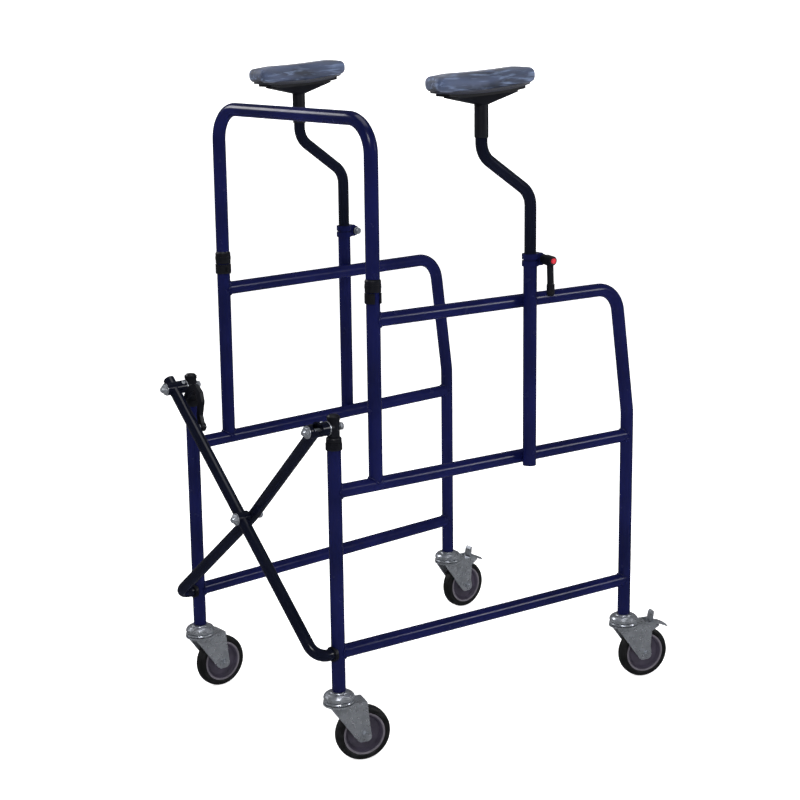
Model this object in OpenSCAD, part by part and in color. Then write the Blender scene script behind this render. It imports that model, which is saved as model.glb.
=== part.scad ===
// Folding underarm walker on four swivel casters.
// Origin: on the floor, under the centre of the walker's plan outline.
// +X is to the walker's left-hand frame, +Y is the open rear where the user walks in, +Z is up.

/* [Frame tubes] */
// outside diameter of every frame tube
tube_d = 25.4; // [22:0.1:32]
// wall thickness of the frame tubes
tube_wall = 1.6; // [1.2:0.1:2.5]
// spacing of the two front legs, centre to centre
leg_spacing = 465; // [380:5:560]
// outward turn of each side frame toward the rear, in degrees
toe = 3.6; // [0:0.1:6]
// distance from the front leg to the inner post
post_y = 88; // [70:1:120]
// distance from the front leg to the support receiver
recv_y = 422; // [350:1:480]
// distance from the front leg to the rear leg
rear_y = 691; // [600:1:760]
// how far the rear leg's top leans forward of its foot
rear_lean = 35; // [0:1:60]

/* [Heights] */
// height of the lower end of the legs, on top of the casters
leg_foot_z = 139; // [137:1:160]
// height of the front leg's upper end
leg_top_z = 594; // [540:1:600]
// height of the lower rail's axis
low_z = 212; // [190:1:260]
// height of the middle rail's axis
mid_z = 512; // [460:1:530]
// height of the top rail's axis
top_z = 810; // [760:1:835]
// height of the kink where the rear leg starts to lean
kink_z = 559; // [530:1:600]
// height of the handle bar's axis
bar_z = 1160; // [1110:1:1200]
// bend radius of the handle bar's corners
bar_bend = 60; // [45:1:90]
// bend radius of the top rail into the rear leg
rail_bend = 52; // [40:1:80]

/* [Underarm supports] */
// outside diameter of the support tubes and the cross tubes
slim_d = 22; // [19:0.1:25]
// upper end of the receiver tube
recv_top_z = 901; // [900:1:909]
// height of the lower corner of the support tube's offset
offset_low_z = 1011; // [980:1:1030]
// height of the upper corner of the support tube's offset
offset_high_z = 1088; // [1065:1:1100]
// forward offset of the support tube
offset_y = 113; // [60:1:140]
// height of the base plate under the pad
plate_z = 1195; // [1180:1:1230]
// length of the pad
pad_len = 222; // [200:1:260]
// width of the pad
pad_w = 62; // [50:1:80]
// thickness of the pad
pad_t = 34; // [24:1:40]
// radius of the pad's saddle curve
pad_sag_r = 900; // [600:10:1200]
// upward tilt of the pad toward the rear, in degrees
pad_tilt = 3; // [0:0.5:6]

/* [Cross brace] */
// height of the top pivots
top_pivot_z = 630; // [620:1:640]
// plane of the cross tubes at their top pivots
brace_y_top = -40; // [-50:0.5:-36]
// plane of the cross tubes at their lower corners
brace_y_low = -50; // [-56:0.5:-49]
// spacing of the two cross tubes at the centre pivot
brace_gap = 25.5; // [24.5:0.5:30]
// length of the plunger shaft inside the front leg
plunger_len = 265; // [250:5:300]

/* [Casters] */
// wheel diameter
wheel_d = 104; // [96:1:107]
// distance the axle trails behind the swivel axis
trail = 44; // [40:1:48]
// tread width
tread_w = 24; // [20:1:32]
// axle diameter
axle_d = 8; // [6:0.5:10]

/* [Hidden] */
$fn = 64;

A = 1;                              // the +X side frame
B = -1;                             // the -X side frame
fit = 0.07;                         // radial clearance of every sliding or turning fit
seat = 0.02;                        // gap left where one part of a frame is coped to the next
half_w = leg_spacing / 2;
bore_d = tube_d - 2 * tube_wall;
slim_bore = slim_d - 3.4;
spigot_d = bore_d - 2 * fit;
mid_pivot_z = (low_z + top_pivot_z) / 2;
brace_y_mid = (brace_y_top + brace_y_low) / 2;
brace_y_back = brace_y_mid + brace_gap;
front_reach = 23.1 - brace_y_mid;   // front leg axis to the end of the centre bolt
rear_reach = rear_y * cos(toe) + trail + 54;   // to the end of the brake lever
origin_y = (front_reach - rear_reach) / 2;
post_top_z = 865;
collar_top_z = 883;
clip_z = 850;                       // pin of the bar clip
spigot_z = [803, 1042];             // ends of the handle bar's spigots
spigot_stop_z = collar_top_z + 2;   // the A spigot ends here, clear of its post
support_low_z = 642;                // lower end of the support tubes, inside the receivers
bolt_d = 8;
clamp_z = 889;                      // clamp bolt height on the receiver
ear_y = 24;                         // clamp bolt, behind the receiver's axis
lever_x = 29;                       // lever arm's offset from the receiver's axis
axle_z = wheel_d / 2;
plate_bottom_z = wheel_d + 9.5;     // underside of the fork's top plate
race_z = plate_bottom_z + 3.5;
foot_bend = 28;                     // bend radius of the cross tubes' turned-in lower ends
swing = 18;                         // the +X casters have swivelled outward by this angle
navy = [0.07, 0.08, 0.27];
black = [0.04, 0.04, 0.05];
zinc = [0.75, 0.76, 0.78];

function unit(v) = v / norm(v);

// ---------------------------------------------------------------- helpers

// straight round bar from a to b
module bar(a, b, d) {
    v = b - a;
    translate(a) rotate([0, acos(v.z / norm(v)), atan2(v.y, v.x)]) cylinder(d = d, h = norm(v));
}

// hollow straight from a to b
module tube_straight(a, b, d, bore) {
    e = unit(b - a);
    difference() {
        bar(a, b, d);
        bar(a - e, b + e, bore);
    }
}

// hollow bend at corner p on the way from a to b
module tube_bend(a, p, b, r, d, bore) {
    u = unit(p - a);
    v = unit(b - p);
    w = unit(cross(u, v));
    n = cross(w, u);
    phi = acos(u * v);
    c = p - u * r * tan(phi / 2) + n * r;
    multmatrix([[-n.x, u.x, w.x, c.x], [-n.y, u.y, w.y, c.y], [-n.z, u.z, w.z, c.z], [0, 0, 0, 1]])
        rotate_extrude(angle = phi, $fn = 128) translate([r, 0]) difference() {
        circle(d = d, $fn = 64);
        circle(d = bore, $fn = 64);
    }
}

// corner setback used up by the bend at point i
function setback(p, r, i) = (i == 0 || i == len(p) - 1) ? 0
    : r[i] * tan(acos(unit(p[i] - p[i - 1]) * unit(p[i + 1] - p[i])) / 2) + seat / 2;

// bent tube through points p with bend radii r
module bent_tube(p, r, d, bore) {
    for (i = [0:len(p) - 2]) {
        u = unit(p[i + 1] - p[i]);
        tube_straight(p[i] + u * setback(p, r, i), p[i + 1] - u * setback(p, r, i + 1), d, bore);
    }
    for (i = [1:len(p) - 2]) tube_bend(p[i - 1], p[i], p[i + 1], r[i], d, bore);
}

// plain ring about +Z
module ring(od, id, z0, z1) {
    translate([0, 0, z0]) difference() {
        cylinder(d = od, h = z1 - z0);
        translate([0, 0, -1]) cylinder(d = id, h = z1 - z0 + 2);
    }
}

// everything shifts so that the floor centre is the origin
module placed() translate([0, origin_y, 0]) children();

// side frame coordinates: origin on the floor under the front leg, +Y along the frame
module on_side(s) placed() translate([s * half_w, 0, 0]) rotate([0, 0, -s * toe]) children();

// cope for a tube that meets an upright at distance y
module upright_cut(y, z0, z1) translate([0, y, z0]) cylinder(d = tube_d + 2 * seat, h = z1 - z0);

// ---------------------------------------------------------------- side frames

module front_leg(s) color(navy) on_side(s) ring(tube_d, bore_d, leg_foot_z, leg_top_z);

module rail(z) difference() {
    bar([0, 0, z], [0, rear_y, z], tube_d);
    bar([0, -1, z], [0, rear_y + 1, z], bore_d);
    upright_cut(0, z - 20, z + 20);
    upright_cut(rear_y, z - 20, z + 20);
}

module rails(s) color(navy) on_side(s) { rail(low_z); rail(mid_z); }

module rear_leg(s) color(navy) on_side(s) difference() {
    bent_tube([[0, post_y, top_z], [0, rear_y - rear_lean, top_z], [0, rear_y, kink_z],
        [0, rear_y, leg_foot_z]], [0, rail_bend, 120, 0], tube_d, bore_d);
    upright_cut(post_y, top_z - 20, top_z + 20);
}

module post(s) color(navy) on_side(s) translate([0, post_y, 0]) difference() {
    ring(tube_d, bore_d, mid_z, post_top_z);
    bar([0, -40, mid_z], [0, 40, mid_z], tube_d + 2 * seat);
    bar([-s * 40, 0, clip_z], [0, 0, clip_z], 6.2);
}

// saddle of weld between a rail and the receiver outside it
module weld(s, z) difference() {
    bar([s * 6, 0, z], [s * 22, 0, z], 15);
    bar([0, -20, z], [0, 20, z], tube_d + 2 * seat);
    translate([s * tube_d, 0, z - 12]) cylinder(d = tube_d - 0.4, h = 24);
}

module receiver(s) color(navy) on_side(s) translate([0, recv_y, 0]) {
    weld(s, mid_z);
    weld(s, top_z);
    translate([s * tube_d, 0, 0]) difference() {
        union() {
            cylinder_between(tube_d, mid_z - 13, recv_top_z);
            for (z = [clamp_z - 11, clamp_z + 2]) cylinder_between(31, z, z + 10);
            translate([-8, 6, clamp_z - 11]) cube([16, ear_y - 6, 23]);
            bar([-8, ear_y, clamp_z], [8, ear_y, clamp_z], 20);
        }
        cylinder_between(slim_d + 2 * fit, mid_z - 19, recv_top_z + 5);
        translate([-1.5, 0, clamp_z - 24]) cube([3, ear_y + 12, 50]);
        bar([-20, ear_y, clamp_z], [20, ear_y, clamp_z], bolt_d + 2 * fit);
    }
}

module cylinder_between(d, z0, z1) translate([0, 0, z0]) cylinder(d = d, h = z1 - z0);

module post_collar(s) color(black) on_side(s) translate([0, post_y, 0]) difference() {
    union() {
        cylinder_between(29.4, post_top_z - 4, collar_top_z - 2);
        translate([0, 0, collar_top_z - 2]) cylinder(d1 = 29.4, d2 = 26.5, h = 2);
        cylinder_between(30.4, post_top_z + 3, post_top_z + 9);
    }
    cylinder_between(tube_d + 2 * seat, post_top_z - 5, post_top_z + seat);
    cylinder_between(bore_d, post_top_z - 5, collar_top_z + 1);
}

module bar_clip(s) color(black) on_side(s) translate([0, post_y, 0]) {
    difference() {
        ring(30.6, tube_d + 2 * seat, clip_z - 9, clip_z + 9);
        translate([s * 18, 0, clip_z]) cube([20, 11, 30], center = true);
        bar([-s * 40, 0, clip_z], [0, 0, clip_z], 6);
    }
    bar([-s * (bore_d / 2 + 0.4), 0, clip_z], [-s * 16.4, 0, clip_z], 6);
    bar([-s * 16.4, 0, clip_z], [-s * 18, 0, clip_z], 8);
}

module leg_bushing(s) color(black) on_side(s) difference() {
    union() {
        cylinder_between(30, leg_top_z - 4, leg_top_z + 8);
        cylinder_between(28, leg_top_z + 7, leg_top_z + 16);
        translate([0, 0, leg_top_z + 16]) cylinder(d1 = 28, d2 = 26, h = 2);
        cylinder_between(bore_d - 0.1, leg_top_z - 24, leg_top_z);
    }
    difference() {
        cylinder_between(tube_d + 2 * seat, leg_top_z - 25, leg_top_z + seat);
        cylinder_between(bore_d - 0.1, leg_top_z - 26, leg_top_z + 1);
    }
    cylinder_between(slim_bore + 2 * fit, leg_top_z - 25, leg_top_z + 25);
}

// stub axle that the cross tube's turned-in end rides on; no toe, square to the brace
module lower_pivot(s) color(black) placed() translate([s * half_w, 0, low_z]) difference() {
    union() {
        bar([0, -21, 0], [0, -8, 0], slim_bore - 2 * fit);
        bar([0, -15.2, 0], [0, -8, 0], 28);
    }
    translate([0, 0, -20]) cylinder(d = tube_d + 2 * seat, h = 40);
}

module caster_heads(s) color(zinc) on_side(s) for (y = [0, rear_y]) translate([0, y, 0]) {
    rotate_extrude($fn = 96) translate([0, race_z]) polygon([[0, -9], [9, -9], [9, -3.9], [5, -3.9],
        [5, 0.4], [25, 0.4], [28.4, 1.6], [29, 3.4], [28, 5], [25.6, 6], [28, 7.4], [29, 10],
        [28.2, 13.5], [25.4, 17], [21.5, 19.2], [18.4, 20], [17.4, 21.4], [16.8, leg_foot_z - race_z - 0.2],
        [0, leg_foot_z - race_z - 0.2]]);
    translate([0, 0, leg_foot_z - 0.4]) cylinder(d = bore_d - 0.1, h = 34);
}

// ---------------------------------------------------------------- handle bar

module handle_bar() color(navy) placed() {
    x = half_w + sin(toe) * post_y;
    y = cos(toe) * post_y;
    bent_tube([[-x, y, collar_top_z + 1], [-x, y, bar_z], [x, y, bar_z], [x, y, collar_top_z + 1]],
        [0, bar_bend, bar_bend, 0], tube_d, bore_d);
}

// only the B spigot enters its post: the bar rises while the A side is already folding away
module bar_spigots() color(zinc) for (s = [A, B]) on_side(s) translate([0, post_y, 0])
    ring(spigot_d, spigot_d - 3, s == A ? spigot_stop_z : spigot_z[0], spigot_z[1]);

// ---------------------------------------------------------------- underarm supports

module support_tube(s) color(black) on_side(s) translate([s * tube_d, recv_y, 0])
    bent_tube([[0, 0, support_low_z], [0, 0, offset_low_z], [0, -offset_y, offset_high_z],
        [0, -offset_y, plate_z - 6]], [0, 42, 42, 0], slim_d, slim_bore);

module pad_base(s) color(black) on_side(s) translate([s * tube_d, recv_y - offset_y, 0]) {
    difference() {
        union() {
            cylinder_between(tube_d, plate_z - 76, plate_z);
            hull() {
                translate([0, 0, plate_z]) rotate([pad_tilt, 0, 0])
                    translate([-18, -70, -1.2]) cube([36, 140, 2]);
                cylinder_between(tube_d, plate_z - 18, plate_z - 16);
            }
        }
        cylinder_between(slim_d + 2 * fit, plate_z - 77, plate_z - 5);
    }
    translate([0, 0, plate_z]) rotate([pad_tilt, 0, 0]) translate([0, 0, pad_sag_r])
        rotate([0, 90, 0]) intersection() {
        difference() {
            cylinder(r = pad_sag_r + 1, h = 40, center = true, $fn = 360);
            cylinder(r = pad_sag_r - 4, h = 42, center = true, $fn = 360);
        }
        translate([pad_sag_r - 20, 0, 0]) cube([90, 170, 60], center = true);
    }
}

module pad(s) color([0.42, 0.44, 0.5]) on_side(s)
    translate([s * tube_d, recv_y - offset_y, plate_z]) rotate([pad_tilt, 0, 0]) translate([0, 0, pad_sag_r])
    rotate([0, 90, 0]) rotate([0, 0, -pad_arc / 2]) rotate_extrude(angle = pad_arc, $fn = 360)
    translate([pad_sag_r - 4.3 - pad_t / 2, 0]) hull()
    for (y = [-1, 1]) translate([0, y * (pad_w - pad_t) / 2]) circle(d = pad_t, $fn = 32);
pad_arc = 2 * asin(pad_len / 2 / pad_sag_r);

module clamp_lever(s) color(black) on_side(s) translate([s * tube_d, recv_y + ear_y, clamp_z]) {
    bar([-s * 12, 0, 0], [s * 12, 0, 0], bolt_d);
    bar([-s * 13.5, 0, 0], [-s * 8.3, 0, 0], 14);
    difference() {
        union() {
            translate([s * 8.3, 0, 0]) rotate([0, s * 90, 0]) cylinder(d1 = 16, d2 = 20, h = 12);
            translate([s * 20.3, 0, 0]) rotate([0, s * 90, 0]) cylinder(d1 = 20, d2 = 17, h = 17);
            bar([s * (lever_x - 1), 0, 0], [s * lever_x, 1, -50], 12.5);
            bar([s * lever_x, 1, -44], [s * lever_x, 1, -62], 15);
            translate([s * lever_x, 1, -66]) cylinder(d1 = 11, d2 = 15, h = 4.2);
        }
        bar([s * 32, 0, 0], [s * 40, 0, 0], 10.4);
    }
}

module lever_button(s) color([0.75, 0.15, 0.18]) on_side(s)
    translate([s * tube_d, recv_y + ear_y, clamp_z]) {
    bar([s * 35.3, 0, 0], [s * 39.4, 0, 0], 10);
    translate([s * 39.4, 0, 0]) rotate([0, s * 90, 0]) cylinder(d1 = 10, d2 = 6.5, h = 1.6);
}

// ---------------------------------------------------------------- cross brace

module cross_tube(s, mid_y, past) color(black) placed() difference() {
    lo = [-s * half_w, brace_y_low, low_z];
    hi = [s * half_w, brace_y_top, top_pivot_z];
    mid = [0, mid_y, mid_pivot_z];
    reach = unit(hi - mid);
    union() {
        foot = [-s * half_w, -15.5, low_z];
        tip = hi + reach * past;
        if (s == A) bent_tube([foot, lo, mid, tip], [0, foot_bend, 160, 0], slim_d, slim_bore);
        else bent_tube([foot, lo, tip], [0, foot_bend, 0], slim_d, slim_bore);
        difference() {
            union() {
                bar([hi.x, brace_y_top - 16.4, hi.z], [hi.x, -15.6, hi.z], 25);
                if (s == B) bar([0, mid_y - slim_d / 2 - 1, mid.z], [0, mid_y + slim_d / 2 + 1.2, mid.z], 25);
            }
            bar(mid - reach * 60, hi + reach * (past + 5), slim_d + 2 * seat);
        }
    }
    bar([hi.x, -70, hi.z], [hi.x, 0, hi.z], bolt_d + 2 * fit);
    bar([0, -80, mid.z], [0, 10, mid.z], bolt_d + 2 * fit);
}

// bolt with a flanged nut at the front and a plain nut behind
module brace_bolt(y0, y1) {
    bar([0, y0 - 11, 0], [0, y1 + 9, 0], bolt_d);
    bar([0, y0 - 2, 0], [0, y0, 0], 23);
    rotate([90, 0, 0]) translate([0, 0, -y0 + 2]) cylinder(d1 = 19, d2 = 15, h = 5.5, $fn = 6);
    rotate([90, 0, 0]) translate([0, 0, -y0 + 7]) cylinder(d1 = 13, d2 = 8.5, h = 3.6);
    rotate([90, 0, 0]) translate([0, 0, -y1 - 7]) cylinder(d = 14.4, h = 6.8, $fn = 6);
}

module top_bolt(s) color(zinc) placed() translate([s * half_w, 0, top_pivot_z]) {
    brace_bolt(brace_y_top - 16.9, 11.6);
    bar([0, -15.2, 0], [0, -13.4, 0], 26);
}

module centre_bolt() color(zinc) placed() translate([0, 0, mid_pivot_z]) {
    brace_bolt(brace_y_mid - 12.1, brace_y_back + 11.3);
}

module plunger(s) color(black) placed() translate([s * half_w, 0, 0]) difference() {
    union() {
        cylinder_between(slim_bore, leg_top_z + 18.4 - plunger_len, leg_top_z + 20);
        cylinder_between(slim_d, leg_top_z + 18.4, top_pivot_z + 20);
        translate([0, 0, top_pivot_z + 20]) cylinder(d1 = slim_d, d2 = slim_d - 5, h = 3);
        translate([0, 0, top_pivot_z + 14]) cylinder(d = slim_d + 2, h = 6);
        bar([0, -13.3, top_pivot_z], [0, 0, top_pivot_z], 21);
    }
    bar([0, -30, top_pivot_z], [0, 30, top_pivot_z], bolt_d + 0.06);
    cylinder_between(slim_bore - 4, leg_top_z + 14 - plunger_len, leg_top_z - 6);
}

// hook lever on the front cross tube, beside the plunger
hook_y = -23.5;
hook_root = [-half_w + 72, 0, top_pivot_z - 66];
// waypoints of the lever: x, z and width
hook_line = [[hook_root.x, hook_root.z, 14], [hook_root.x - 6, hook_root.z + 22, 11],
    [hook_root.x + 1, hook_root.z + 50, 12], [hook_root.x - 3, hook_root.z + 64, 13],
    [hook_root.x - 16, hook_root.z + 74, 13], [hook_root.x - 34, hook_root.z + 68, 13],
    [hook_root.x - 49, hook_root.z + 52, 11]];

module lock_hook() color(black) placed() difference() {
    translate([0, hook_y + 4, 0]) rotate([90, 0, 0]) linear_extrude(8) {
        translate([hook_root.x, hook_root.z]) circle(d = 19);
        for (i = [0:len(hook_line) - 2]) hull() for (k = [i, i + 1])
            translate([hook_line[k].x, hook_line[k].y]) circle(d = hook_line[k].z);
    }
    bar([hook_root.x, -50, hook_root.z], [hook_root.x, 0, hook_root.z], 6 + 2 * fit);
}

module hook_screw() color(zinc) placed() translate([hook_root.x, 0, hook_root.z]) {
    bar([0, -30, 0], [0, -18.6, 0], 6);
    bar([0, -19.2, 0], [0, -16.4, 0], 12);
    bar([0, -30.6, 0], [0, -28, 0], 10);
}

// ---------------------------------------------------------------- casters

// places a caster; p is 0 for the front leg, 1 for the rear leg; +Y then points along the fork
module at_caster(s, p) placed()
    translate([s * (half_w + p * rear_y * sin(toe)), p * rear_y * cos(toe), 0])
    rotate([0, 0, s == A ? -swing : 0]) children();

// cheek outline along the fork and up; the rear forks reach back to carry the brake
function cheek_line(p) = concat([[-22, plate_bottom_z], [-22, race_z]],
    p == 0 ? [[trail + 4, race_z]] : [[trail + 28, race_z], [trail + 28, race_z - 9], [trail + 12, race_z - 18]],
    [[trail + 9, axle_z + 14], [trail + 11.5, axle_z - 2], [trail + 10, axle_z - 8], [trail + 4, axle_z - 12],
    [trail - 10, axle_z - 12], [trail - 15, axle_z - 9]]);

module cheek(p) rotate([90, 0, 90]) linear_extrude(3) polygon(cheek_line(p));

module fork(s, p) color(zinc) at_caster(s, p) difference() {
    union() {
        translate([16, 0, 0]) cheek(p);
        translate([-19, 0, 0]) cheek(p);
        cylinder_between(59, plate_bottom_z, race_z);
        translate([-19, 0, plate_bottom_z]) cube([38, trail + 4, race_z - plate_bottom_z]);
    }
    cylinder_between(10.3, plate_bottom_z - 5, race_z + 2);
    bar([-30, trail, axle_z], [30, trail, axle_z], axle_d + 0.06);
    if (p == 1) bar([-30, brake_at[0], brake_at[1]], [30, brake_at[0], brake_at[1]], 6 + 2 * fit);
}

module axle(s, p) color(zinc) at_caster(s, p) translate([0, trail, axle_z]) {
    bar([-20.9, 0, 0], [25, 0, 0], axle_d);
    rotate([0, -90, 0]) translate([0, 0, 19.1]) cylinder(d = 14, h = 5, $fn = 6);
    rotate([0, 90, 0]) translate([0, 0, 19.1]) cylinder(d = 14, h = 4.5, $fn = 6);
    for (x = [-15.6, 13.8]) translate([x, 0, 0]) rotate([0, 90, 0]) difference() {
        cylinder(d = 13, h = 1.8);
        translate([0, 0, -1]) cylinder(d = axle_d - 1, h = 4);
    }
}

module hub(s, p) color([0.27, 0.25, 0.31]) at_caster(s, p) translate([0, trail, axle_z])
    rotate([0, 90, 0]) rotate_extrude($fn = 96) {
    r = axle_d / 2 + fit;
    polygon([[r, -13.3], [11, -13.3], [12.5, -9], [17, -5.5], [31, -4.5], [34.5, -10], [38.5, -10.4],
        [39.4, -9], [39.4, 9], [38.5, 10.4], [34.5, 10], [31, 4.5], [17, 5.5], [12.5, 9], [11, 13.3],
        [r, 13.3]]);
}

module tyre(s, p) color([0.06, 0.06, 0.07]) at_caster(s, p) translate([0, trail, axle_z])
    rotate([0, 90, 0]) rotate_extrude($fn = 96) {
    h = tread_w / 2;
    r = wheel_d / 2;
    polygon([[39.5, -10.2], [42, -h], [r - 5, -h], [r - 1.8, -h + 2.4], [r - 0.4, -h + 5.5], [r, -h + 9],
        [r, h - 9], [r - 0.4, h - 5.5], [r - 1.8, h - 2.4], [r - 5, h], [42, h], [39.5, 10.2]]);
}

// brake rocker: a release tab that stands up and a pressing lever that reaches back
brake_at = [trail + 21, race_z - 8.5];
module brake_pedal(s) color(zinc) at_caster(s, 1) translate([0, brake_at[0], brake_at[1]]) {
    bar([-18.8, 0, 0], [18.8, 0, 0], 6);
    bar([-14, 0, 0], [14, 0, 0], 13);
    translate([-8, 0, 0]) rotate([90, 0, 90]) linear_extrude(16) union() {
        polygon([[-5, 3], [-8, 9], [-5, 24], [-2, 29], [1, 28], [-1, 12], [3, 5]]);
        polygon([[2, 5.6], [14, 5], [28, -2], [33, -8], [31, -9], [24, -6], [13, -1], [4, -4]]);
    }
}

// ---------------------------------------------------------------- nodes

front_leg(A);  // front_leg_a
front_leg(B);  // front_leg_b
rails(A);  // rails_a
rails(B);  // rails_b
rear_leg(A);  // rear_leg_a
rear_leg(B);  // rear_leg_b
post(A);  // post_a
post(B);  // post_b
receiver(A);  // receiver_a
receiver(B);  // receiver_b
post_collar(A);  // post_collar_a
post_collar(B);  // post_collar_b
bar_clip(A);  // bar_clip_a
bar_clip(B);  // bar_clip_b
leg_bushing(A);  // leg_bushing_a
leg_bushing(B);  // leg_bushing_b
lower_pivot(A);  // lower_pivot_a
lower_pivot(B);  // lower_pivot_b
caster_heads(A);  // caster_heads_a
caster_heads(B);  // caster_heads_b
handle_bar();
bar_spigots();
support_tube(A);  // support_tube_a
support_tube(B);  // support_tube_b
pad_base(A);  // pad_base_a
pad_base(B);  // pad_base_b
pad(A);  // pad_a
pad(B);  // pad_b
clamp_lever(A);  // clamp_lever_a
clamp_lever(B);  // clamp_lever_b
lever_button(A);  // lever_button_a
lever_button(B);  // lever_button_b
cross_tube(B, brace_y_mid, 22);  // cross_tube_front
cross_tube(A, brace_y_back, 13);  // cross_tube_rear
centre_bolt();
plunger(A);  // plunger_a
plunger(B);  // plunger_b
top_bolt(A);  // top_bolt_a
top_bolt(B);  // top_bolt_b
lock_hook();
hook_screw();
fork(A, 0);  // fork_fa
fork(B, 0);  // fork_fb
fork(A, 1);  // fork_ra
fork(B, 1);  // fork_rb
axle(A, 0);  // axle_fa
axle(B, 0);  // axle_fb
axle(A, 1);  // axle_ra
axle(B, 1);  // axle_rb
hub(A, 0);  // hub_fa
hub(B, 0);  // hub_fb
hub(A, 1);  // hub_ra
hub(B, 1);  // hub_rb
tyre(A, 0);  // tyre_fa
tyre(B, 0);  // tyre_fb
tyre(A, 1);  // tyre_ra
tyre(B, 1);  // tyre_rb
brake_pedal(A);  // brake_pedal_ra
brake_pedal(B);  // brake_pedal_rb
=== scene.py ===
"""Looks for the folding underarm walker: finishes, cushions, weld beads and small fittings."""

import logging
import math
from collections.abc import Callable, Iterable
from dataclasses import dataclass, field
from enum import Enum

import bpy
from mathutils import Matrix, Vector


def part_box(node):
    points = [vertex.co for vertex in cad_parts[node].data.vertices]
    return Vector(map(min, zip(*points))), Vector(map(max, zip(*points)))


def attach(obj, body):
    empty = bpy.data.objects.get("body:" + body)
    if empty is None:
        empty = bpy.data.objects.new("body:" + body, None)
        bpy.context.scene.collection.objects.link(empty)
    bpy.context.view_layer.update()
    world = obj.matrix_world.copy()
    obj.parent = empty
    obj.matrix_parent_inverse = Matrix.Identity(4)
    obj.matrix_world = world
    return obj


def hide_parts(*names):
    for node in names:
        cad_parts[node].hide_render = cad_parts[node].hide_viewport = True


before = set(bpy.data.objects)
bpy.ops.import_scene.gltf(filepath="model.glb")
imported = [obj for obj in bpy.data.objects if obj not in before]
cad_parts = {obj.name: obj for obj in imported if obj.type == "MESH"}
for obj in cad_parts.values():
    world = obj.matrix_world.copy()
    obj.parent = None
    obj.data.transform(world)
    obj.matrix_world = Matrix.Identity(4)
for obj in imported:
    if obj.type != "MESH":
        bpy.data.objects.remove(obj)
LOG = logging.getLogger("walker")
MM = 0.001


class Side(Enum):
    """The two side frames, and which way each one's outside faces."""

    A = 1
    B = -1

    @property
    def tag(self) -> str:
        """The letter that ends this side's body and node names."""
        return self.name.lower()


class Corner(Enum):
    """The four casters."""

    FRONT_A = "fa"
    FRONT_B = "fb"
    REAR_A = "ra"
    REAR_B = "rb"

    @property
    def braked(self) -> bool:
        """True for the rear casters, which carry a pedal."""
        return self.value.startswith("r")


@dataclass(frozen=True)
class Layout:
    """Sizes that the CAD frame was built to, in millimetres."""

    half_width: float = 232.5
    toe_deg: float = 3.6
    post_y: float = 88.0
    receiver_y: float = 422.0
    rear_y: float = 691.0
    low_z: float = 212.0
    mid_z: float = 512.0
    top_z: float = 810.0
    tube: float = 25.4
    clamp_z: float = 889.0
    plate_z: float = 1195.0
    pad_y: float = 309.0
    saddle: float = 900.0
    pad_tilt_deg: float = 3.0
    brace_low_y: float = -50.0
    brace_top_y: float = -40.0
    pivot_z: float = 630.0
    trail: float = 44.0
    swing_deg: float = 18.0
    front_reach: float = 23.1
    brake_reach: float = 54.0

    @property
    def origin_y(self) -> float:
        """Shift from the front leg axis to the row frame's origin."""
        mid = (self.brace_low_y + self.brace_top_y) / 2
        rear = self.rear_y * math.cos(math.radians(self.toe_deg)) + self.trail + self.brake_reach
        return (self.front_reach - mid - rear) / 2

    def on_side(self, side: Side, x: float, y: float, z: float) -> Vector:
        """Row-frame point of a place on a side frame.

        Args:
            side: which side frame.
            x: distance outward from the frame's plane.
            y: distance behind the front leg, along the frame.
            z: height.

        Returns:
            The point in metres.
        """
        t = math.radians(self.toe_deg)
        s = side.value
        east = s * (self.half_width + x * math.cos(t) + y * math.sin(t))
        north = y * math.cos(t) - x * math.sin(t) + self.origin_y
        return Vector((east, north, z)) * MM

    def square(self, x: float, y: float, z: float) -> Vector:
        """Row-frame point, in metres, of a place measured square to the front legs."""
        return Vector((x, y + self.origin_y, z)) * MM


LAYOUT = Layout()


# ------------------------------------------------------------------ finishes


def srgb(code: str) -> tuple[float, float, float, float]:
    """Linear RGBA of an sRGB hex colour such as "#1a1d52"."""
    raw = [int(code[i:i + 2], 16) / 255 for i in (1, 3, 5)]
    lin = [c / 12.92 if c <= 0.04045 else ((c + 0.055) / 1.055) ** 2.4 for c in raw]
    return (*lin, 1.0)


def add_node(tree: bpy.types.NodeTree, kind: str, inputs: dict | None = None,
             **settings) -> bpy.types.Node:
    """Adds a node with its settings and links.

    Args:
        tree: the material's node tree.
        kind: the node's type name.
        inputs: socket name or index to a value, or to another node's output socket.
        **settings: attributes set on the node.

    Returns:
        The new node.
    """
    made = tree.nodes.new(kind)
    for key, value in settings.items():
        setattr(made, key, value)
    for key, value in (inputs or {}).items():
        if isinstance(value, bpy.types.NodeSocket):
            tree.links.new(value, made.inputs[key])
        else:
            made.inputs[key].default_value = value
    return made


def blank(name: str, **shader: float | tuple
          ) -> tuple[bpy.types.Material, bpy.types.NodeTree, bpy.types.Node]:
    """A new material with one Principled shader.

    Args:
        name: the material's name.
        **shader: socket values, with spaces written as underscores.

    Returns:
        The material, its tree and its shader.
    """
    mat = bpy.data.materials.new(name)
    mat.use_nodes = True
    tree = mat.node_tree
    tree.nodes.clear()
    bsdf = add_node(tree, "ShaderNodeBsdfPrincipled")
    for key, value in shader.items():
        bsdf.inputs[key.replace("_", " ")].default_value = value
    add_node(tree, "ShaderNodeOutputMaterial", {"Surface": bsdf.outputs[0]})
    return mat, tree, bsdf


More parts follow.
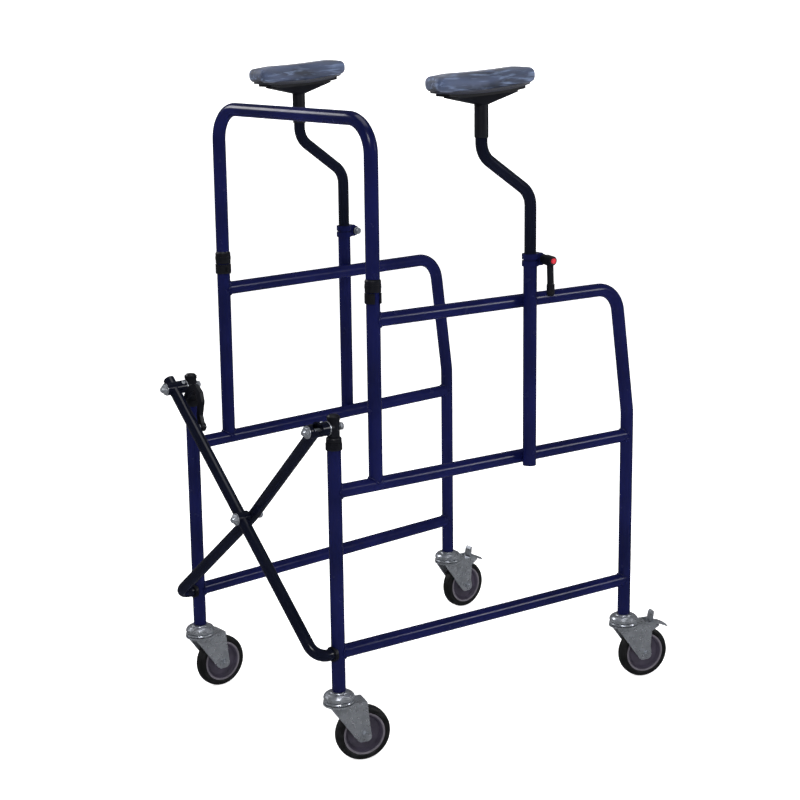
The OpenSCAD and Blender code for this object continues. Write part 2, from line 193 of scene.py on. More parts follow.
def mix_colour(tree: bpy.types.NodeTree, factor: bpy.types.NodeSocket, low: str | bpy.types.NodeSocket,
               high: str) -> bpy.types.NodeSocket:
    """Output of a mix of colours as factor goes from 0 to 1.

    Args:
        tree: the material's node tree.
        factor: the mix's factor.
        low: the colour at 0, an sRGB hex or another node's output.
        high: the colour at 1, an sRGB hex.

    Returns:
        The mixed colour's socket.
    """
    first = srgb(low) if isinstance(low, str) else low
    mix = add_node(tree, "ShaderNodeMix", {0: factor, 6: first, 7: srgb(high)}, data_type="RGBA")
    return mix.outputs[2]


def spread(tree: bpy.types.NodeTree, value: bpy.types.NodeSocket, src: tuple[float, float],
           dst: tuple[float, float]) -> bpy.types.NodeSocket:
    """Output of value mapped from the range src to the range dst, clamped."""
    node = add_node(tree, "ShaderNodeMapRange", {0: value, 1: src[0], 2: src[1], 3: dst[0], 4: dst[1]})
    return node.outputs[0]


def noise(tree: bpy.types.NodeTree, size_mm: float, detail: float = 2.0,
          stretch: tuple[float, float, float] = (1, 1, 1)) -> bpy.types.NodeSocket:
    """Noise factor whose features are about size_mm across, on Object coordinates.

    Args:
        tree: the material's node tree.
        size_mm: real feature size in millimetres.
        detail: octaves of finer noise.
        stretch: per-axis frequency factors; below 1 draws the pattern out.

    Returns:
        The noise's factor output.
    """
    where = add_node(tree, "ShaderNodeTexCoord")
    place = add_node(tree, "ShaderNodeMapping", {"Vector": where.outputs["Object"], "Scale": stretch})
    made = add_node(tree, "ShaderNodeTexNoise",
                    {"Vector": place.outputs[0], "Scale": 1000 / size_mm / 2, "Detail": detail})
    return made.outputs[0]


def bump(tree: bpy.types.NodeTree, bsdf: bpy.types.Node, height: bpy.types.NodeSocket,
         depth_mm: float, strength: float = 0.5) -> None:
    """Feeds a height into the shader's normal, depth_mm deep."""
    made = add_node(tree, "ShaderNodeBump",
                    {"Height": height, "Distance": depth_mm * MM, "Strength": strength})
    tree.links.new(made.outputs[0], bsdf.inputs["Normal"])


@dataclass(frozen=True)
class PowderCoat:
    """Polyester powder baked on steel tube: a thick gloss skin with faint orange peel."""

    name: str
    deep: str
    lit: str
    rough: float = 0.21
    peel_mm: float = 1.6

    def build(self) -> bpy.types.Material:
        """Makes the material."""
        # gloss over a slightly uneven pigment; the peel wobbles the edge of each highlight
        mat, tree, bsdf = blank(self.name, IOR=1.5, Specular_IOR_Level=0.16, Coat_Weight=0.06,
                                Coat_Roughness=0.05)
        cloud = noise(tree, 60, 3)
        tone = mix_colour(tree, spread(tree, cloud, (0.35, 0.65), (0, 1)), self.deep, self.lit)
        tree.links.new(tone, bsdf.inputs["Base Color"])
        peel = noise(tree, self.peel_mm, 1)
        haze = spread(tree, noise(tree, 9, 4), (0.3, 0.7), (self.rough - 0.05, self.rough + 0.07))
        tree.links.new(haze, bsdf.inputs["Roughness"])
        bump(tree, bsdf, peel, 0.02, 0.06)
        return mat


@dataclass(frozen=True)
class ZincPlate:
    """Pressed mild steel, barrel-plated in bright zinc: cool silver, softly clouded; its pale diffuse
    share is a painted reflection of the white studio.
    """

    name: str = "zinc_plate_painted_reflection"
    light: str = "#adb1b9"
    dull: str = "#989ca4"

    def build(self) -> bpy.types.Material:
        """Makes the material."""
        # clouded plating over rolled sheet; handling marks show as duller patches
        # Metallic 0.75 leaves a pale diffuse share: painted reflection of the white sweep, which glossy
        # rays don't see
        mat, tree, bsdf = blank(self.name, Metallic=0.75)
        cloud = noise(tree, 7, 4)
        tone = mix_colour(tree, spread(tree, cloud, (0.35, 0.65), (0, 1)), self.dull, self.light)
        tree.links.new(tone, bsdf.inputs["Base Color"])
        haze = spread(tree, noise(tree, 3, 5), (0.3, 0.7), (0.24, 0.36))
        tree.links.new(haze, bsdf.inputs["Roughness"])
        bump(tree, bsdf, noise(tree, 2.5, 2), 0.01, 0.12)
        return mat


@dataclass(frozen=True)
class MouldedPlastic:
    """Glass-filled nylon or ABS from a spark-eroded mould: dark, with an even fine grain."""

    name: str
    deep: str
    lit: str
    rough: float = 0.42
    grain_mm: float = 0.8

    def build(self) -> bpy.types.Material:
        """Makes the material."""
        # grain drawn a little coarser than the real 0.3 mm so that it shows
        mat, tree, bsdf = blank(self.name, IOR=1.49, Specular_IOR_Level=0.3)
        cloud = noise(tree, 14, 3)
        tone = mix_colour(tree, spread(tree, cloud, (0.35, 0.65), (0, 1)), self.deep, self.lit)
        tree.links.new(tone, bsdf.inputs["Base Color"])
        haze = spread(tree, noise(tree, 5, 4), (0.3, 0.7), (self.rough - 0.06, self.rough + 0.08))
        tree.links.new(haze, bsdf.inputs["Roughness"])
        bump(tree, bsdf, noise(tree, self.grain_mm, 2), 0.05, 0.4)
        return mat


@dataclass(frozen=True)
class CoatedCloth:
    """Vinyl-coated upholstery cloth over foam: grey-blue, with long brushed streaks."""

    name: str = "coated_upholstery_cloth"
    dark: str = "#232a3b"
    mid: str = "#3d4a69"
    pale: str = "#7285a8"

    def build(self) -> bpy.types.Material:
        """Makes the material."""
        # streaks run along the pad, fine pale ones over broad ones; a leather-like pebble covers it
        mat, tree, bsdf = blank(self.name, IOR=1.48, Sheen_Weight=0.25, Sheen_Roughness=0.5)
        wide = noise(tree, 9, 3, (1.0, 0.16, 1.0))
        fine = noise(tree, 2.4, 4, (1.0, 0.1, 1.0))
        base = mix_colour(tree, spread(tree, wide, (0.36, 0.64), (0, 1)), self.dark, self.mid)
        top = mix_colour(tree, spread(tree, fine, (0.52, 0.72), (0, 0.75)), base, self.pale)
        tree.links.new(top, bsdf.inputs["Base Color"])
        tree.links.new(spread(tree, fine, (0.3, 0.7), (0.5, 0.72)), bsdf.inputs["Roughness"])
        where = add_node(tree, "ShaderNodeTexCoord")
        pebble = add_node(tree, "ShaderNodeTexVoronoi",
                          {"Vector": where.outputs["Object"], "Scale": 620.0}, feature="SMOOTH_F1")
        bump(tree, bsdf, pebble.outputs["Distance"], 0.12, 0.5)
        return mat


@dataclass(frozen=True)
class TyreRubber:
    """Black thermoplastic rubber tread: near-black, dull, dusty grey where it rolls."""

    name: str = "tyre_rubber"
    deep: str = "#08090b"
    dust: str = "#1b1c20"

    def build(self) -> bpy.types.Material:
        """Makes the material."""
        # dust shows in patches a few millimetres across
        mat, tree, bsdf = blank(self.name, IOR=1.5, Specular_IOR_Level=0.3)
        dust = noise(tree, 6, 5)
        tone = mix_colour(tree, spread(tree, dust, (0.45, 0.75), (0, 0.8)), self.deep, self.dust)
        tree.links.new(tone, bsdf.inputs["Base Color"])
        tree.links.new(spread(tree, dust, (0.3, 0.7), (0.42, 0.68)), bsdf.inputs["Roughness"])
        bump(tree, bsdf, noise(tree, 0.7, 2), 0.05, 0.4)
        return mat


@dataclass(frozen=True)
class Palette:
    """Every finish on the walker, made once."""

    navy: bpy.types.Material
    black: bpy.types.Material
    zinc: bpy.types.Material
    plastic: bpy.types.Material
    red: bpy.types.Material
    cloth: bpy.types.Material
    underside: bpy.types.Material
    hub: bpy.types.Material
    ring: bpy.types.Material
    tyre: bpy.types.Material
    plated: bpy.types.Material

    @staticmethod
    def build() -> "Palette":
        """Makes all the materials."""
        return Palette(
            navy=PowderCoat("navy_powder_coat", "#0d1138", "#111544").build(),
            black=PowderCoat("black_powder_coat", "#0a0d1a", "#0e1120", 0.16).build(),
            zinc=ZincPlate().build(),
            plastic=MouldedPlastic("black_nylon", "#090a12", "#0d0f18").build(),
            red=MouldedPlastic("red_acetal", "#b3202c", "#cf3642", 0.28, 1.2).build(),
            cloth=CoatedCloth().build(),
            underside=CoatedCloth("coated_cloth_underside", "#14161f", "#22263a", "#363b4c").build(),
            hub=MouldedPlastic("grey_polypropylene", "#312d3a", "#3f3a49", 0.45).build(),
            ring=MouldedPlastic("pale_grey_polypropylene", "#56525b", "#66626b", 0.4).build(),
            tyre=TyreRubber().build(),
            # paler plating; its diffuse share is painted reflection of the studio too
            plated=ZincPlate("plated_inner_tube_painted_reflection", "#d3d5d9", "#b4b8bd").build(),
        )


# ------------------------------------------------------------------ modelling helpers


def deselect() -> None:
    """Leaves object mode with nothing selected."""
    if bpy.context.object and bpy.context.object.mode != "OBJECT":
        bpy.ops.object.mode_set(mode="OBJECT")
    bpy.ops.object.select_all(action="DESELECT")


def settle(obj: bpy.types.Object, name: str, mat: bpy.types.Material, body: str,
           smooth_deg: float = 35.0) -> bpy.types.Object:
    """Names and dresses a finished piece, bakes its place into its mesh and puts it on a body.

    Args:
        obj: the piece.
        name: its name.
        mat: its finish.
        body: the CAD body that it rides on.
        smooth_deg: edges flatter than this are shaded smooth.

    Returns:
        The piece.
    """
    deselect()
    obj.select_set(True)
    bpy.context.view_layer.objects.active = obj
    bpy.ops.object.transform_apply(location=True, rotation=True, scale=True)
    bpy.ops.object.shade_smooth_by_angle(angle=math.radians(smooth_deg))
    obj.name = name
    obj.data.name = name
    obj.data.materials.clear()
    obj.data.materials.append(mat)
    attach(obj, body)
    return obj


def apply_modifier(obj: bpy.types.Object, kind: str, **settings) -> None:
    """Adds a modifier with its settings and applies it."""
    deselect()
    obj.select_set(True)
    bpy.context.view_layer.objects.active = obj
    made = obj.modifiers.new(kind.title(), kind)
    for key, value in settings.items():
        setattr(made, key, value)
    bpy.ops.object.modifier_apply(modifier=made.name)


def clean(obj: bpy.types.Object) -> None:
    """Merges doubles and points every face outward."""
    deselect()
    obj.select_set(True)
    bpy.context.view_layer.objects.active = obj
    bpy.ops.object.mode_set(mode="EDIT")
    bpy.ops.mesh.select_all(action="SELECT")
    bpy.ops.mesh.remove_doubles(threshold=0.00002)
    bpy.ops.mesh.normals_make_consistent(inside=False)
    bpy.ops.object.mode_set(mode="OBJECT")


def piped(points: Iterable[Vector], radius_mm: float, closed: bool, sides: int = 3) -> bpy.types.Object:
    """A round cord of mesh along points.

    Args:
        points: the path, in metres.
        radius_mm: the cord's radius.
        closed: joins the last point to the first.
        sides: the curve's bevel resolution.

    Returns:
        The mesh object.
    """
    pts = list(points)
    deselect()
    bpy.ops.mesh.primitive_circle_add(vertices=len(pts), radius=0.01)
    obj = bpy.context.object
    for vert, point in zip(obj.data.vertices, pts):
        vert.co = point
    if not closed:
        bpy.ops.object.mode_set(mode="EDIT")
        bpy.ops.mesh.select_mode(type="EDGE")
        bpy.ops.mesh.select_all(action="DESELECT")
        bpy.ops.object.mode_set(mode="OBJECT")
        for edge in obj.data.edges:
            edge.select = set(edge.vertices) == {0, len(pts) - 1}
        bpy.ops.object.mode_set(mode="EDIT")
        bpy.ops.mesh.delete(type="EDGE")
        bpy.ops.object.mode_set(mode="OBJECT")
    obj.location = (0, 0, 0)
    bpy.ops.object.convert(target="CURVE")
    obj = bpy.context.object
    obj.data.bevel_depth = radius_mm * MM
    obj.data.bevel_resolution = sides
    obj.data.use_fill_caps = not closed
    bpy.ops.object.convert(target="MESH")
    obj = bpy.context.object
    clean(obj)
    return obj


def turned(profile: list[tuple[float, float]], at: Vector, axis: Vector,
           steps: int = 48) -> bpy.types.Object:
    """A turned piece, spun round an axis from its half profile.

    Args:
        profile: (radius, height) pairs in millimetres, from one end to the other.
        at: where height 0 is, in metres.
        axis: direction of increasing height.
        steps: facets round the piece.

    Returns:
        The mesh object.
    """
    deselect()
    bpy.ops.mesh.primitive_circle_add(vertices=len(profile) + 1, radius=0.01)
    obj = bpy.context.object
    obj.location = (0, 0, 0)
    for vert, (r, h) in zip(obj.data.vertices, profile):
        vert.co = (r * MM, 0, h * MM)
    spare = len(profile)
    bpy.ops.object.mode_set(mode="EDIT")
    bpy.ops.mesh.select_mode(type="VERT")
    bpy.ops.mesh.select_all(action="DESELECT")
    bpy.ops.object.mode_set(mode="OBJECT")
    obj.data.vertices[spare].select = True
    bpy.ops.object.mode_set(mode="EDIT")
    bpy.ops.mesh.delete(type="VERT")
    bpy.ops.mesh.select_all(action="SELECT")
    bpy.ops.mesh.spin(steps=steps, angle=math.tau, center=(0, 0, 0), axis=(0, 0, 1))
    bpy.ops.mesh.select_all(action="SELECT")
    bpy.ops.mesh.remove_doubles(threshold=0.00001)
    bpy.ops.mesh.normals_make_consistent(inside=False)
    bpy.ops.object.mode_set(mode="OBJECT")
    turn = axis.normalized().to_track_quat("Z", "Y").to_matrix().to_4x4()
    obj.data.transform(Matrix.Translation(at) @ turn)
    return obj


def joined(parts: list[bpy.types.Object]) -> bpy.types.Object:
    """Joins meshes into the first one."""
    deselect()
    for part in parts:
        part.select_set(True)
    bpy.context.view_layer.objects.active = parts[0]
    bpy.ops.object.join()
    return parts[0]


def dress(mat: bpy.types.Material, *nodes: str) -> None:
    """Puts a finish on every slot of the named CAD nodes."""
    for name in nodes:
        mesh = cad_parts[name].data
        mesh.materials.clear()
        mesh.materials.append(mat)


# ------------------------------------------------------------------ sub-assemblies


@dataclass
class SideFrame:
    """One welded side frame: painted tubes, weld beads at each joint, black collars."""

    side: Side
    finishes: Palette
    bead_mm: float = 1.9

    @property
    def body(self) -> str:
        """The CAD body of this frame."""
        return f"side_frame_{self.side.tag}"

    def build(self) -> None:
        """Dresses the CAD nodes and adds the beads."""
        t = self.side.tag
        navy = ("front_leg", "rails", "rear_leg", "post", "receiver")
        black = ("post_collar", "bar_clip", "leg_bushing", "lower_pivot")
        dress(self.finishes.navy, *(f"{n}_{t}" for n in navy))
        dress(self.finishes.plastic, *(f"{n}_{t}" for n in black))
        dress(self.finishes.zinc, f"caster_heads_{t}")
        beads = []
        for z in (LAYOUT.low_z, LAYOUT.mid_z):
            beads += [self.across_upright(0.0, z, 1), self.across_upright(LAYOUT.rear_y, z, -1)]
        beads += [self.across_upright(LAYOUT.post_y, LAYOUT.top_z, 1), self.post_foot()]
        bead = joined(beads)
        settle(bead, f"weld_beads_{t}", self.finishes.navy, self.body, 60)

    def ripple(self, angle: float) -> float:
        """Weld ripple: a small swell every few degrees round the bead."""
        return 0.35 * math.sin(angle * 19)

    def across_upright(self, y: float, z: float, way: int) -> bpy.types.Object:
        """Bead where a rail runs into an upright.

        Args:
            y: the upright's place along the frame.
            z: the rail's height.
            way: 1 where the rail leaves toward the rear, -1 toward the front.

        Returns:
            The bead's mesh.
        """
        return self.bead_round(
            lambda side, up, reach: LAYOUT.on_side(self.side, side, y + way * reach, z + up))

    def post_foot(self) -> bpy.types.Object:
        """Bead where the post stands on the middle rail."""
        return self.bead_round(
            lambda side, along, reach: LAYOUT.on_side(
                self.side, side, LAYOUT.post_y + along, LAYOUT.mid_z + reach))

    def bead_round(self, place: Callable[[float, float, float], Vector]) -> bpy.types.Object:
        """Bead where one tube ends on another of its own size.

        Args:
            place: turns the offsets to the side and along the other tube, and the reach from
                that tube's middle, into a point.

        Returns:
            The bead's mesh.
        """
        r, count = LAYOUT.tube / 2, 96
        pts = []
        for i in range(count):
            a = math.tau * i / count
            side = (r + 0.3) * math.sin(a)
            along = (r + 0.3) * math.cos(a)
            reach = math.sqrt(max((r + 0.6) ** 2 - side * side, 0.0)) + 0.5 + self.ripple(a)
            pts.append(place(side, along, reach))
        return piped(pts, self.bead_mm, True)


@dataclass
class HandleBar:
    """The one-piece front bar and its plated spigots."""

    finishes: Palette

    def build(self) -> None:
        """Dresses the CAD nodes."""
        dress(self.finishes.navy, "handle_bar")
        dress(self.finishes.plated, "bar_spigots")


@dataclass
class UnderarmSupport:
    """One bent support with its sleeve, base plate and saddle cushion."""

    side: Side
    finishes: Palette
    length: float = 222.0
    width: float = 62.0
    thick: float = 34.0
    swell_cap: float = 6.0

    def saddle_z(self, y: float) -> float:
        """Height of the saddle curve above its middle, at y from the middle."""
        return LAYOUT.saddle - math.sqrt(LAYOUT.saddle ** 2 - y * y)

    def build(self) -> None:
        """Dresses the CAD nodes and makes the cushion, its piping and the board under it."""
        t = self.side.tag
        dress(self.finishes.black, f"support_tube_{t}")
        dress(self.finishes.plastic, f"pad_base_{t}")
        cushion = self.cushion()
        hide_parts(f"pad_{t}")
        self.piping()
        self.underboard()

    def to_frame(self, x: float, y: float, z: float) -> Vector:
        """Row-frame point of a place on the cushion, from its middle at the base plate's top."""
        t = math.radians(LAYOUT.pad_tilt_deg)
        back, up = y * math.cos(t) - z * math.sin(t), y * math.sin(t) + z * math.cos(t)
        return LAYOUT.on_side(self.side, LAYOUT.tube + x, LAYOUT.pad_y + back, LAYOUT.plate_z + up)

    def cushion(self) -> bpy.types.Object:
        """The soft saddle, swelled by pressure and capped."""
        deselect()
        bpy.ops.mesh.primitive_cube_add(size=1)
        obj = bpy.context.object
        obj.scale = ((self.width - 5) * MM, (self.length - 6) * MM, (self.thick - 6) * MM)
        bpy.ops.object.transform_apply(location=True, rotation=True, scale=True)
        bpy.ops.object.mode_set(mode="EDIT")
        bpy.ops.mesh.select_all(action="SELECT")
        bpy.ops.mesh.bevel(offset=0.0085, segments=3, affect="EDGES")
        bpy.ops.mesh.select_all(action="SELECT")
        bpy.ops.mesh.subdivide(number_cuts=2)
        bpy.ops.object.mode_set(mode="OBJECT")
        apply_modifier(obj, "REMESH", mode="VOXEL", voxel_size=0.0045, use_smooth_shade=True)
        half = self.length / 2
        for vert in obj.data.vertices:
            x, y, z = (c / MM for c in vert.co)
            u = abs(y) / half
            # plan outline narrows to a round nose, the ends thicken and lift
            waist = 1.0 - 0.1 * max(0.0, (u - 0.7) / 0.3) ** 2 - 0.05 * (1 - u) ** 2
            x *= waist
            if z > 0:
                z *= 1.0 + 0.2 * max(0.0, (u - 0.55) / 0.45) ** 2
            else:
                z *= 1.0 - 0.05 * u ** 2
            # foam fills the hollow: the top keeps under half of the saddle's sag
            sag = self.saddle_z(y) * (1.0 - 0.45 * max(0.0, min(1.0, z / 8.0)))
            vert.co = Vector((x, y, z + self.thick / 2 + 4.0 + sag)) * MM
        rest = [v.co.copy() for v in obj.data.vertices]
        self.inflate(obj)
        cap = self.swell_cap * MM
        for vert, was in zip(obj.data.vertices, rest):
            move = vert.co - was
            if move.length > cap:
                vert.co = was + move.normalized() * cap
        apply_modifier(obj, "SUBSURF", levels=1, render_levels=1)
        for vert in obj.data.vertices:
            x, y, z = (c / MM for c in vert.co)
            floor = self.saddle_z(min(abs(y), half)) + 7.2
            z = max(z, floor)
            y = max(-half - 2, min(half + 2, y))
            vert.co = self.to_frame(x, y, z)
        if self.side is Side.B:
            clean(obj)
        t = self.side.tag
        return settle(obj, f"cushion_{t}", self.finishes.cloth, f"armpad_{t}", 80)

    def inflate(self, obj: bpy.types.Object) -> None:
        """Runs a short pressure simulation and applies it."""
        deselect()
        obj.select_set(True)
        bpy.context.view_layer.objects.active = obj
        made = obj.modifiers.new("Cloth", "CLOTH")
        made.settings.use_pressure = True
        made.settings.uniform_pressure_force = 4.0
        made.settings.quality = 5
        made.settings.effector_weights.gravity = 0.0
        for number in range(1, 21):
            bpy.context.scene.frame_set(number)
        bpy.ops.object.modifier_apply(modifier=made.name)
        bpy.context.scene.frame_set(1)

    @staticmethod
    def plan(turn: float, half_x: float, half_y: float) -> tuple[float, float]:
        """Place on a rounded oblong, squarer across than along, at an angle turn round it."""
        c, s = math.cos(turn), math.sin(turn)
        return half_x * math.copysign(abs(c) ** 0.62, c), half_y * math.copysign(abs(s) ** 0.8, s)

    def outline(self, grow: float, lift: float, count: int = 120) -> list[Vector]:
        """Plan outline of the cushion, lifted onto the saddle.

        Args:
            grow: millimetres outside the cushion's own edge.
            lift: height above the saddle.
            count: number of points.

        Returns:
            Points in the row frame.
        """
        pts = []
        for i in range(count):
            x, y = self.plan(math.tau * i / count, self.width / 2 + grow, self.length / 2 + grow)
            x *= 1 - 0.12 * (abs(y) / (self.length / 2)) ** 4
            pts.append(self.to_frame(x, y, lift + self.saddle_z(min(abs(y), self.length / 2))))
        return pts

    def piping(self) -> None:
        """The corded seam round the cushion's lower edge."""
        t = self.side.tag
        cord = piped(self.outline(-2.2, 9.0), 1.3, True)
        settle(cord, f"piping_{t}", self.finishes.underside, f"armpad_{t}", 80)

    def underboard(self) -> None:
        """The dark covered board under the cushion."""
        deselect()
        count = 120
        bpy.ops.mesh.primitive_circle_add(vertices=count, radius=0.1, fill_type="NGON")
        obj = bpy.context.object
        bpy.ops.object.mode_set(mode="EDIT")
        bpy.ops.mesh.select_all(action="SELECT")
        for _ in range(7):
            bpy.ops.mesh.inset(thickness=0.012, depth=0)
        bpy.ops.object.mode_set(mode="OBJECT")
        rings = len(obj.data.vertices) // count
        for k in range(rings):
            f = 1 - k / rings
            for i, p in enumerate(self.ring_of(f, count)):
                obj.data.vertices[k * count + i].co = p
        apply_modifier(obj, "SOLIDIFY", thickness=0.0034, offset=0)
        apply_modifier(obj, "BEVEL", width=0.0012, segments=2, limit_method="ANGLE")
        clean(obj)
        t = self.side.tag
        settle(obj, f"underboard_{t}", self.finishes.underside, f"armpad_{t}", 50)

    def ring_of(self, f: float, count: int) -> list[Vector]:
        """One ring of the board, at a fraction f of its plan size."""
        pts = []
        for i in range(count):
            x, y = self.plan(math.tau * i / count, f * (self.width / 2 - 4), f * (self.length / 2 - 5))
            pts.append(self.to_frame(x, y, 6.0 + self.saddle_z(y)))
        return pts


@dataclass
class Clamp:
    """The lever clamp on a receiver: lever, red release button and a bolt head on the inner ear."""

    side: Side
    finishes: Palette

    def build(self) -> None:
        """Dresses the CAD nodes and adds the bolt head."""
        t = self.side.tag
        dress(self.finishes.plastic, f"clamp_lever_{t}")
        dress(self.finishes.red, f"lever_button_{t}")
        inward = LAYOUT.on_side(self.side, 0, 0, 0) - LAYOUT.on_side(self.side, 1, 0, 0)
        at = LAYOUT.on_side(self.side, LAYOUT.tube - 12.4, LAYOUT.receiver_y + 24, LAYOUT.clamp_z)
        head = turned([(0, 0), (7.6, 0), (7.6, 1.2), (6.6, 1.6), (6.4, 6.6), (5.6, 7.4), (3.4, 7.4),
                       (3.2, 5.0), (0, 5.0)], at, inward)
        settle(head, f"clamp_bolt_head_{t}", self.finishes.zinc, f"lever_{t}")


@dataclass
class CrossBrace:
    """The two crossed tubes, their bolts, the plungers and the lock hook."""

    finishes: Palette

    def build(self) -> None:
        """Dresses the CAD nodes and adds the small fittings."""
        dress(self.finishes.black, "cross_tube_front", "cross_tube_rear")
        dress(self.finishes.zinc, "centre_bolt", "top_bolt_a", "top_bolt_b", "hook_screw")
        dress(self.finishes.plastic, "plunger_a", "plunger_b", "lock_hook")
        for side, body in ((Side.A, "brace_rear"), (Side.B, "brace_front")):
            self.set_screw(side, body)

    def set_screw(self, side: Side, body: str) -> None:
        """Socket set screw in the inner upper flank of a top boss."""
        tilt = Vector((-0.6 * side.value, 0, 0.8))
        at = LAYOUT.square(side.value * LAYOUT.half_width, -21.5, LAYOUT.pivot_z) + tilt * 12.2 * MM
        profile = [(0, -1), (4.2, -1), (4.2, 1.2), (3.6, 1.8), (1.9, 1.8), (1.7, 0.4), (0, 0.4)]
        screw = turned(profile, at, tilt, 24)
        settle(screw, f"set_screw_{side.tag}", self.finishes.zinc, body)


@dataclass
class Caster:
    """One swivel caster."""

    corner: Corner
    finishes: Palette

    @property
    def side(self) -> Side:
        """The side frame that it stands under."""
        return Side.A if self.corner.value.endswith("a") else Side.B

    def axle(self) -> Vector:
        """Centre of the wheel in the row frame."""
        low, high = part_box(f"tyre_{self.corner.value}")
        return (low + high) / 2

    def build(self) -> None:
        """Dresses the CAD nodes and adds the rim rings."""
        c = self.corner.value
        dress(self.finishes.zinc, f"fork_{c}", f"axle_{c}")
        dress(self.finishes.hub, f"hub_{c}")
        dress(self.finishes.tyre, f"tyre_{c}")
        if self.corner.braked:
            dress(self.finishes.zinc, f"brake_pedal_{c}")
        self.rim_rings()

    def across(self) -> Vector:
        """Direction of the axle, outward along +X."""
        turn = math.radians(LAYOUT.swing_deg) if self.side is Side.A else 0.0
        return Vector((math.cos(turn), -math.sin(turn), 0))

    def rim_rings(self) -> None:
        """The paler raised ring on each face of the wheel."""
        profile = [(36.2, 9.2), (36.2, 10.9), (36.8, 11.5), (38.9, 11.7), (39.9, 11.2), (39.9, 9.2),
                   (36.2, 9.2)]
        ring = joined([turned(profile, self.axle(), self.across() * way, 96) for way in (-1, 1)])
        clean(ring)
        settle(ring, f"rim_rings_{self.corner.value}", self.finishes.ring, f"wheel_{self.corner.value}")


# ------------------------------------------------------------------ studio


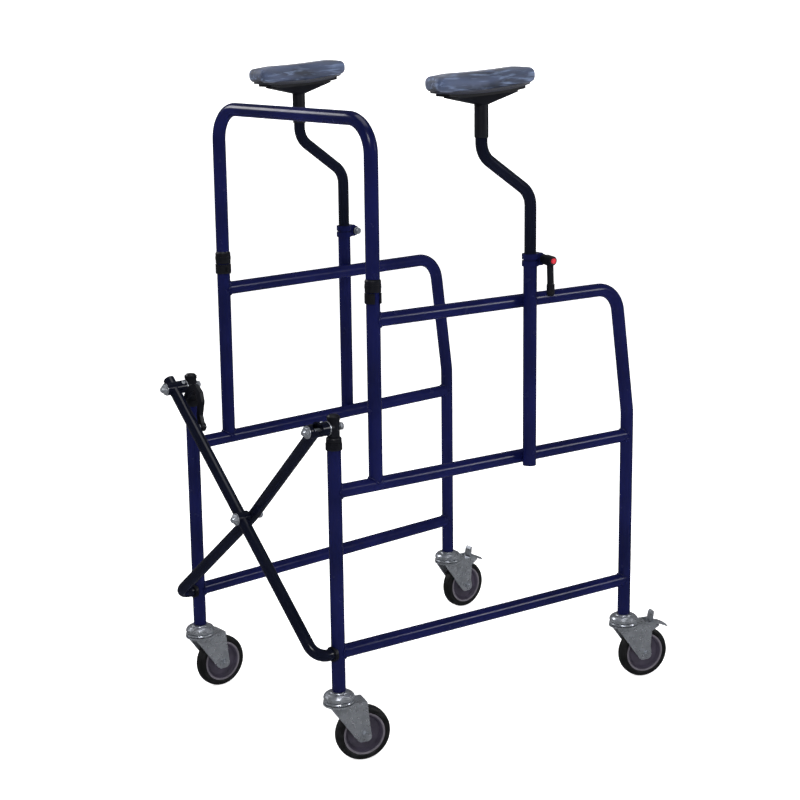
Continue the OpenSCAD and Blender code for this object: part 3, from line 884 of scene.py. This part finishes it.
@dataclass
class Studio:
    """Pale floor, soft lights and the camera."""

    lens_mm: float = 80.48475
    sensor_mm: float = 36.0
    azimuth: float = 51.36
    elevation: float = 12.76
    roll: float = -0.70
    place_mm: tuple[float, float, float] = (2686.06, -1811.45, 1367.74)
    paper_glow: float = 0.8
    paper_size: float = 26.0
    middle: tuple[float, float] = (-3.0, 3.0)
    wall: float = 12.0
    sky: float = 0.10
    lights: list[tuple[tuple[float, float, float], float, float]] = field(default_factory=lambda: [
        ((2.8, -2.4, 3.4), 1.3, 80.0),
        ((-3.0, -1.6, 2.6), 1.2, 45.0),
        ((3.4, 2.4, 2.0), 1.0, 40.0),
        ((0.0, 0.2, 4.6), 2.6, 70.0),
    ])

    def build(self) -> None:
        """Makes the floor, the lights, the world and the camera."""
        self.floor()
        for k, (place, size, power) in enumerate(self.lights):
            self.light(k, Vector(place), size, power)
        self.world()
        self.camera()

    def floor(self) -> None:
        """A wide pale sweep: floor, and a wall far behind the walker."""
        # matt backdrop paper lit from behind: almost white, hardly any gloss
        mat, tree, bsdf = blank("backdrop_paper", Roughness=0.9, IOR=1.2, Emission_Color=(1, 1, 1, 1),
                                Emission_Strength=self.paper_glow)
        tone = noise(tree, 400, 2)
        tree.links.new(mix_colour(tree, tone, "#f4f4f5", "#f8f8f8"), bsdf.inputs["Base Color"])
        deselect()
        bpy.ops.mesh.primitive_plane_add(size=self.paper_size, location=(*self.middle, 0))
        sweep = bpy.context.object
        bpy.ops.object.transform_apply(location=True)
        # the two far edges turn up into walls
        for along in (Vector((-1, 0, 0)), Vector((0, 1, 0))):
            self.raise_edge(sweep, along)
        bpy.ops.object.mode_set(mode="EDIT")
        bpy.ops.mesh.select_all(action="SELECT")
        bpy.ops.mesh.normals_make_consistent(inside=True)
        bpy.ops.object.mode_set(mode="OBJECT")
        sweep.name = "studio_sweep"
        sweep.data.materials.append(mat)
        # glossy paint and plastic then show the softboxes as thin lines, with no grey veil
        sweep.visible_glossy = False
        self.screens(mat)
        bpy.context.scene.view_settings.view_transform = "Standard"

    def screens(self, paper: bpy.types.Material) -> None:
        """The two near walls, for views from behind; only the camera sees them, so they light nothing.

        Args:
            paper: the backdrop's finish.
        """
        half, (east, north) = self.paper_size / 2, self.middle
        walls = (((east + half, north, half), (0, math.pi / 2, 0)),
                 ((east, north - half, half), (math.pi / 2, 0, 0)))
        for number, (place, turn) in enumerate(walls):
            deselect()
            bpy.ops.mesh.primitive_plane_add(size=self.paper_size, location=place, rotation=turn)
            screen = bpy.context.object
            bpy.ops.object.transform_apply(location=True, rotation=True)
            screen.name = f"studio_screen_{number}"
            screen.data.materials.append(paper)
            for ray in ("diffuse", "glossy", "shadow", "transmission"):
                setattr(screen, f"visible_{ray}", False)

    def raise_edge(self, sweep: bpy.types.Object, along: Vector) -> None:
        """Pulls one outer floor edge straight up.

        Args:
            sweep: the floor mesh, in object mode.
            along: direction from the floor's middle to that edge.
        """
        mesh = sweep.data
        flat = [v.co for v in mesh.vertices if v.co.z < 0.01]
        far = max(c.dot(along) for c in flat)
        bpy.ops.object.mode_set(mode="EDIT")
        bpy.ops.mesh.select_mode(type="EDGE")
        bpy.ops.mesh.select_all(action="DESELECT")
        bpy.ops.object.mode_set(mode="OBJECT")
        for edge in mesh.edges:
            ends = [mesh.vertices[i].co for i in edge.vertices]
            edge.select = all(c.z < 0.01 and abs(c.dot(along) - far) < 0.01 for c in ends)
        bpy.ops.object.mode_set(mode="EDIT")
        bpy.ops.mesh.extrude_region_move(TRANSFORM_OT_translate={"value": (0, 0, self.wall)})
        bpy.ops.object.mode_set(mode="OBJECT")

    def light(self, number: int, place: Vector, size: float, power: float) -> None:
        """One soft square light aimed at the middle of the walker."""
        data = bpy.data.lights.new(f"softbox_{number}", "AREA")
        data.shape = "SQUARE"
        data.size = size
        data.energy = power
        obj = bpy.data.objects.new(f"softbox_{number}", data)
        bpy.context.scene.collection.objects.link(obj)
        obj.location = place
        obj.rotation_euler = (Vector((0, 0, 0.6)) - place).to_track_quat("-Z", "Y").to_euler()

    def world(self) -> None:
        """Even white surroundings."""
        world = bpy.data.worlds.new("studio")
        world.use_nodes = True
        back = world.node_tree.nodes["Background"]
        back.inputs[0].default_value = (1, 1, 1, 1)
        back.inputs[1].default_value = self.sky
        bpy.context.scene.world = world

    def camera(self) -> None:
        """The camera: a long lens, in front of the +X side and a little above the middle."""
        a, e, r = (math.radians(v) for v in (self.azimuth, self.elevation, self.roll))
        back = Vector((math.sin(a) * math.cos(e), -math.cos(a) * math.cos(e), math.sin(e)))
        right = Vector((math.cos(a), math.sin(a), 0))
        up = back.cross(right)
        right, up = right * math.cos(r) + up * math.sin(r), up * math.cos(r) - right * math.sin(r)
        data = bpy.data.cameras.new("camera")
        data.sensor_width = self.sensor_mm
        data.lens = self.lens_mm
        data.clip_end = 100
        obj = bpy.data.objects.new("camera", data)
        bpy.context.scene.collection.objects.link(obj)
        x, y, z = self.place_mm
        turn = Matrix((right, up, back)).transposed().to_4x4()
        obj.matrix_world = Matrix.Translation(LAYOUT.square(x, y, z)) @ turn
        bpy.context.scene.camera = obj


def main() -> None:
    """Builds the studio, then the sub-assemblies in order, logging each one."""
    logging.basicConfig(level=logging.INFO, format="%(message)s")
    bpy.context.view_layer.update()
    Studio().build()
    finishes = Palette.build()
    groups: list[tuple[str, Callable[[], None]]] = []
    for side in Side:
        groups.append((f"side frame {side.tag}", SideFrame(side, finishes).build))
        groups.append((f"underarm support {side.tag}", UnderarmSupport(side, finishes).build))
        groups.append((f"clamp {side.tag}", Clamp(side, finishes).build))
    groups.append(("handle bar", HandleBar(finishes).build))
    groups.append(("cross brace", CrossBrace(finishes).build))
    for corner in Corner:
        groups.append((f"caster {corner.value}", Caster(corner, finishes).build))
    for name, build in groups:
        build()
        LOG.info("built %s", name)


if __name__ == "__main__":
    main()
